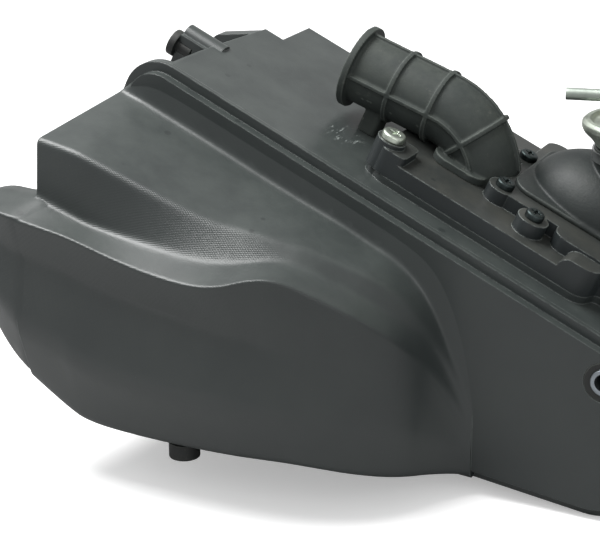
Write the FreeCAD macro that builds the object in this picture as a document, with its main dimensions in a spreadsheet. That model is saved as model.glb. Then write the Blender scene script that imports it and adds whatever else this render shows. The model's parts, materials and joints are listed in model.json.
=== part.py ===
import FreeCAD, Part
import math
import os
import Sketcher

# Air intake box of a motorcycle: a two-piece plastic case, a filter cover with its
# panel element, a ribbed rubber inlet elbow, and a rubber boot that carries the
# throttle body.  Row frame: +Z up, origin at the centre of the bore on the throttle
# body's engine face.  The case top slopes down to the right by "tilt"; the parts
# that follow that slope are drawn in the case frame (x along the slope, y to the
# rear, z square to the top face) with its origin at the top front left corner.

V = FreeCAD.Vector

DIMS = {
    # frames
    "tilt": 24.5,
    "corner_x": -216,
    "corner_y": -80,
    "corner_z": -36,
    "yaw": 15,
    # case halves
    "wall": 2.8,
    "flange": 3,
    "lip_inset": 5,
    "panel_rise": 5,
    "case_depth": 132,
    "case_inset": 14,
    "corner_round": 20,
    "screw_ring": 8,
    # filter cover
    "plinth": 4,
    "deck_low": 12.5,
    "deck_high": 20,
    "roof": 2.8,
    "cover_left": 107,
    "cover_right": 270,
    "cover_front": 14,
    "cover_rear": 124,
    "step_left": 201,
    "step_front": 26.5,
    # filter element
    "filter_left": 186,
    "filter_right": 240,
    "filter_front": 42,
    "filter_rear": 110,
    "filter_deep": 24,
    "pleats": 18,
    # inlet elbow
    "duct_y": 62,
    "duct_od": 35.6,
    "duct_wall": 2.6,
    "bend_x": 122,
    "bend_radius": 32,
    "duct_rise": 5,
    "duct_lift": 30.4,
    "duct_run": 51.5,
    "mouth_od": 43,
    "mouth_lip": 3.5,
    "rib_rise": 1.7,
    "rib_wide": 2.4,
    # outlet boot
    "boot_x": 215,
    "boot_wall": 3,
    "boot_long": 43,
    "boot_wide": 33,
    "boot_tall": 27,
    "neck_od": 44,
    "neck_id": 39,
    "neck_top": -70,
    "band_low": -77,
    "band_high": -70,
    # throttle body, measured down from the engine face
    "bore": 30,
    "barrel_od": 37,
    "bell_od": 57,
    "bell_top": -56,
    "bell_edge": -61.4,
    "spigot_end": -90,
    "shaft_z": -30,
    "shaft_od": 8,
    "shaft_gap": 0.03,
    "shaft_front": -31,
    "shaft_rear": 45,
    "plate_od": 29.76,
    "plate_thick": 1.2,
    "bolt_spacing": 54,
    "bolt_hole": 8.5,
    "pulley_od": 34,
    "pulley_thick": 7,
    # vent pipe
    "pipe_od": 6,
    "pipe_id": 4,
    "pipe_reach": 37,
    "pipe_z": -45,
    # drain
    "drain_x": 36,
    "drain_y": -58,
    "nipple_od": 11,
    "nipple_id": 8,
    "nipple_end": -176,
    "plug_od": 15.5,
    "plug_end": -179,
    "plug_length": 8,
    # side mount
    "collar_x": 230.2,
    "collar_z": -123.7,
    "collar_od": 13,
    "collar_id": 8.6,
    "grommet_od": 20,
    # left mount
    "buffer_y": 44,
    "buffer_z": -9,
    "buffer_seat": -19,
    "buffer_od": 14,
    "buffer_thick": 4,
    "stem_od": 8,
}

doc = FreeCAD.newDocument("air_box")
sheet = doc.addObject("Spreadsheet::Sheet", "dims")
for row, (alias, size) in enumerate(DIMS.items(), start=1):
    sheet.set(f"A{row}", alias)
    sheet.set(f"B{row}", str(size))
    sheet.setAlias(f"B{row}", alias)
doc.recompute()

CORNER = "vector(dims.corner_x; dims.corner_y; dims.corner_z)"
SLOPED = f"placement({CORNER}; rotation(vector(0; 1; 0); dims.tilt))"
LEVEL = f"placement({CORNER}; rotation(vector(0; 1; 0); 0))"
THROTTLE = "placement(vector(0; 0; 0); rotation(vector(0; 0; 1); dims.yaw))"

NODES = []


# ---------------------------------------------------------------- document helpers


def dim(alias):
    """A driving dimension of the sheet."""
    return float(sheet.get(alias))


def value(expression):
    """The present value of an expression over the sheet."""
    return float(sheet.evalExpression(str(expression)))


def publish(piece, label, frame):
    """Name a finished sub-part and put it in its frame."""
    piece.Label = label
    piece.setExpression("Placement", frame)
    NODES.append(piece)
    return piece


def feature(label, shape, frame):
    """A sub-part whose shape Part's functions make from the sheet's sizes."""
    piece = doc.addObject("Part::Feature", label)
    piece.Shape = shape
    return publish(piece, label, frame)


def place(piece, x=0, y=0, z=0, axis=V(0, 0, 1), angle=0):
    """Move a primitive: x, y and z are expressions over the sheet."""
    piece.Placement = FreeCAD.Placement(V(0, 0, 0), FreeCAD.Rotation(axis, angle))
    for letter, expression in zip("xyz", (x, y, z)):
        piece.setExpression(f".Placement.Base.{letter}", str(expression))
    return piece


def cylinder(name, radius, length, x=0, y=0, z=0, axis=V(0, 0, 1), angle=0):
    piece = doc.addObject("Part::Cylinder", name)
    piece.setExpression("Radius", str(radius))
    piece.setExpression("Height", str(length))
    return place(piece, x, y, z, axis, angle)


def box(name, length, width, height, x=0, y=0, z=0, axis=V(0, 0, 1), angle=0):
    piece = doc.addObject("Part::Box", name)
    piece.setExpression("Length", str(length))
    piece.setExpression("Width", str(width))
    piece.setExpression("Height", str(height))
    return place(piece, x, y, z, axis, angle)


def fuse(name, pieces):
    piece = doc.addObject("Part::MultiFuse", name)
    piece.Shapes = pieces
    piece.Refine = True
    return piece


def cut(name, base, tool):
    piece = doc.addObject("Part::Cut", name)
    piece.Base = base
    piece.Tool = tool
    return piece


def group(name, pieces):
    """Separate solids that share one node."""
    piece = doc.addObject("Part::Compound", name)
    piece.Links = pieces
    return piece


ALONG_Y = {"axis": V(1, 0, 0), "angle": -90}
ALONG_X = {"axis": V(0, 1, 0), "angle": 90}


def new_body(name):
    return doc.addObject("PartDesign::Body", name)


def origin_plane(body, role):
    return next(item for item in body.Origin.OriginFeatures if item.Role == role)


def polygon_sketch(body, name, role, corners, offset=0):
    """A closed outline whose corners are bound to expressions over the sheet."""
    sketch = body.newObject("Sketcher::SketchObject", name)
    sketch.AttachmentSupport = (origin_plane(body, role), [""])
    sketch.MapMode = "FlatFace"
    sketch.setExpression("AttachmentOffset.Base.z", str(offset))
    points = [V(value(x), value(y), 0) for x, y in corners]
    count = len(points)
    for index in range(count):
        sketch.addGeometry(Part.LineSegment(points[index], points[(index + 1) % count]))
    for index in range(count):
        following = (index + 1) % count
        sketch.addConstraint(Sketcher.Constraint("Coincident", index, 2, following, 1))
    for index, corner in enumerate(corners):
        for kind, text, size in zip(("DistanceX", "DistanceY"), corner, points[index]):
            number = sketch.addConstraint(Sketcher.Constraint(kind, -1, 1, index, 1, size))
            sketch.setExpression(f"Constraints[{number}]", str(text))
    return sketch


def circle_sketch(body, name, role, circles, offset=0):
    """Circles given as (x, y, radius) expressions."""
    sketch = body.newObject("Sketcher::SketchObject", name)
    sketch.AttachmentSupport = (origin_plane(body, role), [""])
    sketch.MapMode = "FlatFace"
    sketch.setExpression("AttachmentOffset.Base.z", str(offset))
    for index, (x, y, radius) in enumerate(circles):
        centre = V(value(x), value(y), 0)
        sketch.addGeometry(Part.Circle(centre, V(0, 0, 1), value(radius)))
        for kind, text, size in zip(("DistanceX", "DistanceY"), (x, y), centre):
            number = sketch.addConstraint(Sketcher.Constraint(kind, -1, 1, index, 3, size))
            sketch.setExpression(f"Constraints[{number}]", str(text))
        number = sketch.addConstraint(Sketcher.Constraint("Radius", index, value(radius)))
        sketch.setExpression(f"Constraints[{number}]", str(radius))
    return sketch


def pad(body, name, sketch, length, reverse=False, midplane=False):
    doc.recompute()
    item = body.newObject("PartDesign::Pad", name)
    item.Profile = sketch
    item.setExpression("Length", str(length))
    item.Reversed = reverse
    item.Midplane = midplane
    doc.recompute()
    return item


def pocket(body, name, sketch, length, reverse=False, midplane=False):
    """A pocket that must remove material."""
    doc.recompute()
    before = body.Shape.Volume
    item = body.newObject("PartDesign::Pocket", name)
    item.Profile = sketch
    item.setExpression("Length", str(length))
    item.Reversed = reverse
    item.Midplane = midplane
    doc.recompute()
    if body.Shape.Volume > before - 0.01:
        raise RuntimeError(f"{name} cuts nothing")
    return item


def revolve(body, name, sketch):
    doc.recompute()
    item = body.newObject("PartDesign::Revolution", name)
    item.Profile = sketch
    item.ReferenceAxis = (sketch, ["V_Axis"])
    item.Angle = 360
    doc.recompute()
    return item


# ---------------------------------------------------------------- shape helpers


def inset_polygon(points, distance):
    """Corners of a clockwise or counter-clockwise polygon moved inwards."""
    area = sum(a[0] * b[1] - b[0] * a[1] for a, b in zip(points, points[1:] + points[:1]))
    side = 1 if area > 0 else -1
    moved = []
    for index, point in enumerate(points):
        before = points[index - 1]
        after = points[(index + 1) % len(points)]
        first = unit(point[0] - before[0], point[1] - before[1])
        second = unit(after[0] - point[0], after[1] - point[1])
        normal_a = (-first[1] * side, first[0] * side)
        normal_b = (-second[1] * side, second[0] * side)
        share = 1 + normal_a[0] * normal_b[0] + normal_a[1] * normal_b[1]
        step_x = (normal_a[0] + normal_b[0]) * distance / share
        step_y = (normal_a[1] + normal_b[1]) * distance / share
        moved.append((point[0] + step_x, point[1] + step_y))
    return moved


def unit(x, y):
    length = math.hypot(x, y)
    return x / length, y / length


def round_wire(points, radii, to_space):
    """A closed wire of lines and corner arcs; to_space maps (u, v) to a vector."""
    edges = []
    starts = []
    ends = []
    for index, (point, radius) in enumerate(zip(points, radii)):
        before = points[index - 1]
        after = points[(index + 1) % len(points)]
        back = unit(before[0] - point[0], before[1] - point[1])
        ahead = unit(after[0] - point[0], after[1] - point[1])
        half = math.acos(back[0] * ahead[0] + back[1] * ahead[1]) / 2
        reach = radius / math.tan(half)
        bisector = unit(back[0] + ahead[0], back[1] + ahead[1])
        middle = radius / math.sin(half) - radius
        starts.append((point[0] + back[0] * reach, point[1] + back[1] * reach))
        ends.append((point[0] + ahead[0] * reach, point[1] + ahead[1] * reach))
        if radius > 0:
            crown = (point[0] + bisector[0] * middle, point[1] + bisector[1] * middle)
            edges.append(Part.Arc(*map(to_space, (starts[-1], crown, ends[-1]))).toShape())
    for index, end in enumerate(ends):
        start = starts[(index + 1) % len(starts)]
        edges.append(Part.makeLine(to_space(end), to_space(start)))
    return Part.Wire(Part.__sortEdges__(edges))


def plan(point):
    """(x, y) of the case frame's top plane."""
    return V(point[0], point[1], 0)


def upright(point):
    """(x, z) of the parting plane."""
    return V(point[0], 0, point[1])


def slab(points, radii, low, high):
    """A plate over a plan outline, from z = low to z = high."""
    face = Part.Face(round_wire(points, radii, plan))
    face.translate(V(0, 0, low))
    return face.extrude(V(0, 0, high - low))


def curtain(points, radii, front, rear):
    """A plate over an outline of the parting plane, from y = front to y = rear."""
    face = Part.Face(round_wire(points, radii, upright))
    face.translate(V(0, front, 0))
    return face.extrude(V(0, rear - front, 0))


def rectangle(left, front, right, rear):
    return [(left, front), (right, front), (right, rear), (left, rear)]


def rod(radius, start, end):
    """A cylinder between two points."""
    axis = end - start
    return Part.makeCylinder(radius, axis.Length, start, axis)


def tilted(shape):
    """A shape of the case frame turned into level directions."""
    turned = shape.copy()
    turned.rotate(V(0, 0, 0), V(0, 1, 0), dim("tilt"))
    return turned


def level_point(x, z):
    """Level (x, z) of a point given in the case frame."""
    angle = math.radians(dim("tilt"))
    return (
        x * math.cos(angle) + z * math.sin(angle),
        z * math.cos(angle) - x * math.sin(angle),
    )


def sloped_point(x, z):
    """Case-frame (x, z) of a level point."""
    angle = math.radians(dim("tilt"))
    return (
        x * math.cos(angle) - z * math.sin(angle),
        z * math.cos(angle) + x * math.sin(angle),
    )


# ---------------------------------------------------------------- case outline

# Level x and z of the case's right edge and of its bottom edge.
RIGHT_EDGE = 256
BOTTOM_RIGHT = -199
BOTTOM_MIDDLE = (160, -187)
BOTTOM_LEFT = (-15, -180)
LEFT_EDGE = -20
LEFT_FOOT = -110


def flange_outline():
    """Corners and radii of the joint flange in the case frame's (x, z)."""
    top = sloped_point(RIGHT_EDGE, -RIGHT_EDGE * math.tan(math.radians(dim("tilt"))))
    points = [
        (LEFT_EDGE, 0),
        (top[0], 0),
        sloped_point(RIGHT_EDGE, BOTTOM_RIGHT),
        sloped_point(*BOTTOM_MIDDLE),
        sloped_point(*BOTTOM_LEFT),
        (LEFT_EDGE, LEFT_FOOT),
    ]
    radii = [dim("corner_round"), 10, 30, 40, 45, 35]
    return points, radii


def flange_plate(inset, front, rear):
    points, radii = flange_outline()
    corners = inset_polygon(points, inset)
    rounds = [max(radius - inset, 2) for radius in radii]
    return curtain(corners, rounds, front, rear)


def screw_places():
    """Case-frame (x, z) of the screws that join the halves."""
    points, _ = flange_outline()
    ring = inset_polygon(points, dim("screw_ring"))
    left = ring[0][0]
    places = [
        (left, -34),
        (left, -88),
        between(ring[5], ring[4], 0.5),
        between(ring[4], ring[3], 0.25),
        between(ring[4], ring[3], 0.72),
        between(ring[3], ring[2], 0.55),
        between(ring[2], ring[1], 0.4),
    ]
    return places


def between(first, second, share):
    return (
        first[0] + (second[0] - first[0]) * share,
        first[1] + (second[1] - first[1]) * share,
    )


# ---------------------------------------------------------------- outer case

# Stations of the styled side along level x.  Each one lists, as (y, z), the foot of
# the upper wall, the shelf's edge, the foot of the drop wall, the crease, the valley,
# the main face and the bottom edge.
BODY = [
    (-25.5, (-7, -14), (-68, -24), (-70, -52), (-89, -58), (-84, -78), (-89, -112), (-79, -144)),
    (-18, (-7, -16), (-68, -27), (-71, -58), (-89, -61), (-84, -81), (-89, -118), (-79, -157)),
    (-6, (-7, -21), (-67, -31), (-72, -62), (-89, -63), (-83, -86), (-90, -125), (-78, -163)),
    (24, (-7, -34), (-62, -44), (-72, -66), (-89, -72), (-82, -93), (-90, -132), (-77, -165)),
    (52, (-7, -47), (-56, -56), (-70, -71), (-88, -77), (-81, -98), (-89, -133), (-77, -165)),
    (70, (-7, -55), (-51, -59.5), (-64, -71.6), (-87, -76), (-80, -101), (-88, -134), (-76, -165)),
    (84, (-7, -61), (-47, -63), (-56, -70.5), (-81, -71.5), (-77, -104), (-85, -135), (-74, -165)),
    (96, (-7, -66), (-44, -66.7), (-52, -73), (-76, -71.5), (-75, -107), (-81, -137), (-72, -165)),
    (108, (-7, -72), (-40, -72.4), (-47, -78), (-68, -79), (-70, -111), (-75, -140), (-69, -166)),
    (126, (-7, -80), (-31, -81.8), (-38, -89.4), (-56, -91.5), (-58, -118), (-63, -145), (-58, -171)),
    (141, (-7, -94), (-19, -98), (-25, -105), (-38, -108.5), (-41, -127), (-45, -152), (-41, -177)),
    (153, (-6, -118), (-8, -123), (-9, -127), (-12, -134), (-15, -146), (-20, -162), (-19, -181)),
    (166, (-5, -150), (-5.2, -154), (-5.4, -158), (-5.6, -163), (-6, -169), (-6.4, -176), (-6, -183)),
]
BODY_FOOT = [-152, -165, -173, -178, -180, -181, -182, -182, -183, -184, -185, -186, -187]

# Stations of the nose that reaches past the left end of the case.
NOSE = [
    (-75, (-75, -60), (-80, -61), (-78, -68), (-79, -74), (-76, -82)),
    (-69, (-70, -54), (-84, -54), (-80, -67), (-82, -81), (-77, -98)),
    (-58, (-68, -51), (-87, -54), (-83, -71), (-86, -93), (-78, -120)),
    (-47, (-68, -52), (-89, -56), (-84, -74), (-88, -102), (-79, -135)),
    (-25.5, (-70, -52), (-89, -58), (-84, -78), (-89, -112), (-79, -144)),
]
NOSE_BACK = -56
# The nose grows out of the case: level x of its last rows and how far they are inset.
NOSE_ROOT = ((-22, -0.8), (-16, 3))
NOSE_ROOT_INSIDE = ((-20, 0.6), (-14, 0.6))
# The left end leans: level x falls by this much per mm towards the front.
END_LEAN = 0.147
ROUNDS = (6, 6, 6, 3, 5, 16, 10)


def corner_poles(points, rounds):
    """Poles of a curve that runs straight between corners and rounds each one."""
    poles = [V(*points[0])]
    for index, reach in enumerate(rounds, start=1):
        here = V(*points[index])
        back = V(*points[index - 1]) - here
        ahead = V(*points[index + 1]) - here
        poles.append(here + back * min(reach / back.Length, 0.45))
        poles.append(here)
        poles.append(here + ahead * min(reach / ahead.Length, 0.45))
    poles.append(V(*points[-1]))
    return poles


def clamped(count, degree):
    """Multiplicities and knots of a clamped uniform curve."""
    inner = count - degree - 1
    return [degree + 1] + [1] * inner + [degree + 1], [float(k) for k in range(inner + 2)]


def skin_solid(rows):
    """A solid under a smooth surface whose poles are rows of equal length.

    Every row starts and ends on one common plane, which closes the solid.
    """
    u_mults, u_knots = clamped(len(rows), 2)
    v_mults, v_knots = clamped(len(rows[0]), 2)
    surface = Part.BSplineSurface()
    surface.buildFromPolesMultsKnots(
        rows, u_mults, v_mults, u_knots, v_knots, False, False, 2, 2
    )
    skin = surface.toShape()
    start = surface.vIso(v_knots[0]).toShape()
    stop = surface.vIso(v_knots[-1]).toShape()
    near = surface.uIso(u_knots[0]).toShape()
    far = surface.uIso(u_knots[-1]).toShape()
    near_line = Part.makeLine(rows[0][0], rows[0][-1])
    far_line = Part.makeLine(rows[-1][0], rows[-1][-1])
    faces = [
        skin,
        Part.Face(Part.Wire([near, near_line])),
        Part.Face(Part.Wire([far, far_line])),
        Part.Face(Part.Wire(Part.__sortEdges__([start, far_line, stop, near_line]))),
    ]
    shell = Part.Shell(faces)
    shell.sewShape()
    return Part.Solid(shell)


def section_poles(x, profile, rounds):
    """One row of poles in the plane of a station."""
    return corner_poles([(x, y, z) for y, z in profile], rounds)


def lip_height(x):
    """Level height of the flange's inner lip over level x."""
    slope = math.radians(dim("tilt"))
    radius = dim("corner_round") - dim("lip_inset")
    centre_x, centre_z = level_point(0, -dim("corner_round"))
    if x < centre_x + radius * math.sin(slope):
        return centre_z + math.sqrt(max(radius**2 - (x - centre_x) ** 2, 0))
    return -x * math.tan(slope) - dim("lip_inset") / math.cos(slope)


def leaning_row(x, profile, rounds):
    """A row of poles in the leaning plane of the case's left end."""
    row = section_poles(x, profile, rounds)
    return [V(pole.x + END_LEAN * pole.y, pole.y, pole.z) for pole in row]


def body_profile(index, wall):
    station = BODY[index]
    top = max(lip_height(station[0]), station[1][1] + 2)
    profile = [(0, top), (-4, top - 1)]
    profile += list(station[1:])
    profile += [(-4, BODY_FOOT[index]), (0, BODY_FOOT[index])]
    if wall:
        profile = inset_polygon(profile, wall)
        profile[0] = (0, profile[0][1])
        profile[-1] = (0, profile[-1][1])
    return profile


def body_solid(count, wall=0):
    rounds = (2,) + ROUNDS + (2,)
    rows = [leaning_row(BODY[0][0] + wall, body_profile(0, wall), rounds)]
    for index in range(1, count):
        rows.append(section_poles(BODY[index][0], body_profile(index, wall), rounds))
    return skin_solid(rows)


def nose_profile(station, wall):
    profile = [(NOSE_BACK, station[1][1] - 2)] + list(station[1:])
    profile.append((NOSE_BACK, station[-1][1] + 4))
    return inset_polygon(profile, wall) if wall else profile


def nose_solid(wall=0):
    rounds = ROUNDS[2:]
    rows = [section_poles(NOSE[0][0] + wall, nose_profile(NOSE[0], wall), rounds)]
    for station in NOSE[1:-1]:
        rows.append(section_poles(station[0], nose_profile(station, wall), rounds))
    root = nose_profile(NOSE[-1], wall)
    for x, step in NOSE_ROOT_INSIDE if wall else NOSE_ROOT:
        profile = inset_polygon(root, step)
        profile[0] = (NOSE_BACK - wall, profile[0][1])
        profile[-1] = (NOSE_BACK - wall, profile[-1][1])
        rows.append(leaning_row(x, profile, rounds))
    return skin_solid(rows)


def make_outer_case():
    wall = dim("wall")
    flange = dim("flange")
    rise = dim("panel_rise")
    solid = tilted(flange_plate(dim("lip_inset"), -rise, 0))
    solid = solid.fuse([body_solid(len(BODY)), nose_solid()])
    solid = solid.fuse(tilted(flange_plate(0, 0, flange)))
    cavity = body_solid(len(BODY) - 2, wall).fuse(nose_solid(wall))
    panel = tilted(flange_plate(dim("case_inset"), wall - rise, flange + 1))
    solid = solid.cut([cavity, panel])
    collar = V(dim("collar_x"), 0, dim("collar_z"))
    hole = dim("grommet_od") / 2
    solid = solid.fuse(rod(hole + 3, collar + V(0, -rise, 0), collar + V(0, flange, 0)))
    solid = solid.cut(rod(hole, collar + V(0, -20, 0), collar + V(0, 20, 0)))
    nipple = V(dim("drain_x"), dim("drain_y"), dim("nipple_end"))
    solid = solid.fuse(rod(dim("nipple_od") / 2, nipple, nipple + V(0, 0, 14)))
    solid = solid.cut(rod(dim("nipple_id") / 2, nipple, nipple + V(0, 0, 20)))
    for x, z in screw_places():
        foot = tilted(rod(SCREW_BOSS, V(x, 3 - rise, z), V(x, flange, z)))
        solid = solid.fuse(foot)
    for x, z in screw_places():
        solid = solid.cut(tilted(rod(SCREW_SHANK, V(x, -PILOT, z), V(x, flange + 1, z))))
    return solid


# ---------------------------------------------------------------- inner case

SCREW_BOSS = 5
SCREW_SHANK = 2.3
SCREW_CLEAR = 2.7
SCREW_HEAD = 4.4
SCREW_HEAD_TALL = 3
PILOT = 1.5
LEFT_WALL = -5
LEFT_WALL_REAR = 1.5
STEP_X = 13
STEP_Y = 98
FLANGE_REAR = 6

# Case-frame (x, y) of the cover's black screws and of its plated corner screw.
BLACK_SCREWS = [(167.5, 42.2), (189.6, 29), (162.8, 86.3), (262, 36), (262, 115), (116, 115)]
CORNER_SCREW = (111.5, 22.5)
CORNER_SEAT = 19.5
COVER_BOSS = 8
CORNER_BOSS = 7.5
COVER_JOG = (230, 234)
# Case-frame (left, front, right, rear) of the cover's web, pockets and clean-air window.
COVER_WEB = (167.5, 36, 205, 50)
DIRTY_POCKET = (111, 18, 174, 120)
CLEAN_POCKETS = ((184, 50, 266, 119), (204, 31, 266, 119))
CLEAN_WINDOW = (190, 58, 246, 102)
COLUMN_RIGHT = 124
COLUMN_REAR = 33
DECK_CORNER = (163, 47)
FRONT_STEP = 18.4
FRONT_STEP_LEFT = 212.3
FRONT_STEP_ROUND = 6
COVER_SHANK = 2.45
CORNER_SHANK = 2.4
COVER_HEAD = 4.75
CORNER_HEAD = 6
ANCHOR_DEEP = 8


def chamber_outline(inset):
    """Outline of the inner chamber in the case frame's (x, z)."""
    points, _ = flange_outline()
    ring = inset_polygon(points, dim("case_inset"))
    right = RIGHT_EDGE - dim("case_inset")
    ring[0] = (LEFT_WALL, 0)
    ring[1] = sloped_point(right, -right * math.tan(math.radians(dim("tilt"))))
    ring[5] = (LEFT_WALL, LEFT_FOOT + 10)
    radii = [max(radius - inset, 1) for radius in (4, 6, 10, 40, 35, 30)]
    return inset_polygon(ring, inset) if inset else ring, radii


def chamber(inset, front, rear):
    """The chamber's block with a slanting left wall and the rear left corner stepped in."""
    block = curtain(*chamber_outline(inset), front, rear)
    step = [
        (-80, 0),
        (LEFT_WALL + inset, 0),
        (LEFT_WALL_REAR + inset, STEP_Y - inset),
        (STEP_X + inset, STEP_Y - inset),
        (STEP_X + inset, 300),
        (-80, 300),
    ]
    return block.cut(slab(step, [0] * 6, -350, 50))


def rounded_chamber():
    """The chamber with its rear edges rounded."""
    block = chamber(0, dim("flange"), dim("case_depth"))
    rear = dim("case_depth")
    edges = []
    for edge in block.Edges:
        box_of = edge.BoundBox
        if box_of.YMin > rear - 0.01:
            edges.append(edge)
    return block.makeFillet(3, edges)


def cover_outline(inset=0):
    points = [
        (dim("cover_left"), dim("cover_front")),
        (COVER_JOG[0], dim("cover_front")),
        (COVER_JOG[1], dim("step_front")),
        (dim("cover_right"), dim("step_front")),
        (dim("cover_right"), dim("cover_rear")),
        (dim("cover_left"), dim("cover_rear")),
    ]
    radii = [12, 9, 4, 8, 10, 10]
    if inset:
        points = inset_polygon(points, inset)
        radii = [max(radius - inset, 1) for radius in radii[:2]] + [
            4 + inset,
            *(max(radius - inset, 1) for radius in radii[3:]),
        ]
    return points, radii


def filter_rectangle(grow):
    return rectangle(
        dim("filter_left") - grow,
        dim("filter_front") - grow,
        dim("filter_right") + grow,
        dim("filter_rear") + grow,
    )


def ring_slab(outline, outer, inner, low, high):
    """A flat ring between two insets of an outline."""
    return slab(*outline(outer), low, high).cut(slab(*outline(inner), low - 1, high + 1))


def parting_ring(outer, inner, front, rear):
    return flange_plate(outer, front, rear).cut(flange_plate(inner, front - 1, rear + 1))


PLINTH_WIDE = 5
SEAL_OUTER = 0.8
SEAL_INNER = 2
SEAL_TALL = 1.4
DUCT_PORT = 20


def duct_port(low, high):
    centre = V(150, dim("duct_y"), low)
    return rod(DUCT_PORT, centre, V(centre.x, centre.y, high))


def anchor(x, y, radius):
    return rod(radius, V(x, y, -ANCHOR_DEEP), V(x, y, dim("plinth")))


LUG_WIDE = 16
LUG_BAR = 6


def left_lug():
    """The block and bar that carry the rubber buffer, and the sloping tab behind them."""
    level = dim("buffer_y")
    lift = dim("buffer_z")
    left = dim("buffer_seat")
    block = Part.makeBox(3 - left, LUG_WIDE, LUG_WIDE, V(left, level - 3, lift - 9))
    bar = rod(LUG_BAR, V(left, level + 5, lift + 5), V(4, level + 5, lift + 5))
    outline = [(6, -0.5), (1, -1), (-20, -14), (-22, -20), (1, -30), (6, -30)]
    tab = curtain(outline, [0, 8, 4, 3, 0, 0], STEP_Y - 9, STEP_Y)
    hole = rod(dim("stem_od") / 2, V(left - 5, level, lift), V(left + 9, level, lift))
    return block.fuse([bar, tab]).cut(hole)


def make_inner_case():
    flange = dim("flange")
    wall = dim("wall")
    deep = dim("case_depth")
    solid = rounded_chamber().fuse([flange_plate(0, flange, FLANGE_REAR), left_lug()])
    solid = solid.fuse(slab(*cover_outline(), -1, dim("plinth")))
    solid = solid.cut(chamber(wall, flange - 1, deep - wall))
    solid = solid.cut(slab(*cover_outline(PLINTH_WIDE), 0, dim("plinth") + 1))
    anchors = [anchor(x, y, COVER_BOSS - 2) for x, y in [CORNER_SCREW] + BLACK_SCREWS]
    solid = solid.fuse(anchors)
    solid = solid.cut([slab(filter_rectangle(0.5), [4.5] * 4, -20, 5), duct_port(-20, 5)])
    collar_x, collar_z = sloped_point(dim("collar_x"), dim("collar_z"))
    front = V(collar_x, flange, collar_z)
    rear = V(collar_x, deep, collar_z)
    hole = dim("grommet_od") / 2
    solid = solid.fuse(rod(hole + 2.5, front, rear))
    solid = solid.cut(rod(hole, front - V(0, 1, 0), rear + V(0, 1, 0)))
    solid = solid.cut(parting_ring(SEAL_OUTER, SEAL_INNER, flange, flange + SEAL_TALL))
    groove = ring_slab(
        cover_outline, SEAL_OUTER, SEAL_INNER, dim("plinth") - SEAL_TALL, dim("plinth")
    )
    solid = solid.cut(groove)
    pilots = [anchor(x, y, COVER_SHANK) for x, y in BLACK_SCREWS]
    solid = solid.cut(pilots + [anchor(*CORNER_SCREW, CORNER_SHANK)])
    for x, z in screw_places():
        solid = solid.cut(rod(SCREW_CLEAR, V(x, 0, z), V(x, FLANGE_REAR + 1, z)))
    return solid


def make_case_seal():
    front = dim("flange")
    return parting_ring(SEAL_OUTER, SEAL_INNER, front, front + SEAL_TALL)


def make_case_screws():
    screws = []
    for x, z in screw_places():
        shank = rod(SCREW_SHANK, V(x, -PILOT + 0.2, z), V(x, FLANGE_REAR + 1, z))
        head = rod(SCREW_HEAD, V(x, FLANGE_REAR, z), V(x, FLANGE_REAR + SCREW_HEAD_TALL, z))
        screws.append(shank.fuse(pan_head(head)).removeSplitter())
    return Part.makeCompound(screws)


def pan_head(head):
    """Round the outer rim of a screw head and leave its seat sharp."""
    rims = [edge for edge in head.Edges if edge.Closed]
    rims.sort(key=lambda edge: edge.CenterOfMass.y + edge.CenterOfMass.z)
    return head.makeFillet(1.2, [rims[-1]])


feature("outer_case", make_outer_case(), LEVEL)
feature("inner_case", make_inner_case(), SLOPED)
feature("case_seal", make_case_seal(), SLOPED)
feature("case_screws", make_case_screws(), SLOPED)


# ---------------------------------------------------------------- filter cover

DUCT_END = 9.7


def duct_path(far):
    """Centre line of the elbow from its mouth to the bend's far angle."""
    rise = math.radians(dim("duct_rise"))
    radius = dim("bend_radius")
    level = dim("duct_y")
    centre = V(dim("bend_x"), level, dim("duct_lift") - radius)

    def on_bend(angle):
        return centre + V(math.sin(angle), 0, math.cos(angle)) * radius

    start = on_bend(-rise)
    mouth = start - V(math.cos(rise), 0, math.sin(rise)) * dim("duct_run")
    end = on_bend(math.radians(far))
    middle = on_bend((math.radians(far) - rise) / 2)
    edges = [Part.makeLine(mouth, start), Part.Arc(start, middle, end).toShape()]
    return Part.Wire(edges), mouth, start - mouth


def duct_tube(radius, far=80):
    path, mouth, direction = duct_path(far)
    ring = Part.Wire([Part.makeCircle(radius, mouth, direction)])
    return path.makePipeShell([ring], True, True)


def high_deck(low, high):
    right = dim("cover_right")
    rear = dim("cover_rear")
    corner = rectangle(dim("step_left"), dim("step_front"), right, rear)
    main = rectangle(*DECK_CORNER, right, rear)
    return slab(corner, [8] * 4, low, high).fuse(slab(main, [8] * 4, low, high))


def front_step(low):
    """The block in front of the high deck, rounded where it rises from the low deck."""
    front = dim("cover_front")
    back = dim("step_front") + 1
    centre = FRONT_STEP_LEFT + FRONT_STEP_ROUND
    middle = FRONT_STEP - FRONT_STEP_ROUND
    right = dim("cover_right")
    block = Part.makeBox(right - centre, back - front, FRONT_STEP - low, V(centre, front, low))
    corner = rod(FRONT_STEP_ROUND, V(centre, front, middle), V(centre, back, middle))
    return block.fuse(corner).common(slab(*cover_outline(), low, FRONT_STEP))


def cover_bosses(low):
    bosses = []
    for x, y in BLACK_SCREWS:
        bosses.append(rod(COVER_BOSS, V(x, y, low), V(x, y, dim("deck_high"))))
    x, y = CORNER_SCREW
    bosses.append(rod(CORNER_BOSS, V(x, y, low), V(x, y, CORNER_SEAT)))
    return bosses


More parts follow.
